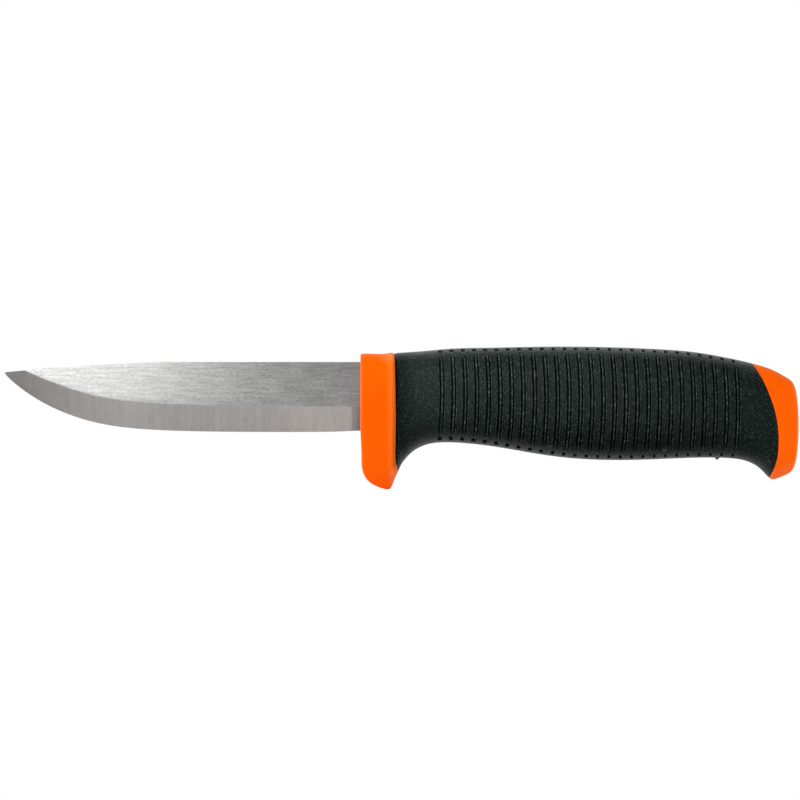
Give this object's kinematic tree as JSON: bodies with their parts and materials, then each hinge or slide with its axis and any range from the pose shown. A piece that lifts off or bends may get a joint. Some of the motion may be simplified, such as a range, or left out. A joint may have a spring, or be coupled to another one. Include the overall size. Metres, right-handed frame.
{
  "type": "fixed blade utility knife",
  "caption": "Fixed-blade utility knife: flat-ground steel blade, orange finger guard, ribbed black rubber grip and orange end cap.",
  "frame": {"origin": "centre of the blade root, on the guard's front face and half way through the blade's thickness", "axes": "-X runs to the point and +X to the end cap, +Z is the spine side, Y is the thickness"},
  "size_m": [0.2081, 0.0236, 0.0372],
  "materials": {
    "blade_steel": "satin, with a flat grind in fine cross lines",
    "orange_plastic": "semi-gloss moulded polypropylene",
    "core_plastic": "hard moulded core, hidden",
    "grip_rubber": "matte soft-touch rubber with a fine moulded grain"
  },
  "bodies": {
    "root": {"blade": "blade_steel", "guard": "orange_plastic", "tang_core": "core_plastic", "grip_sleeve": "grip_rubber", "pommel_cap": "orange_plastic"}
  },
  "joints": []
}
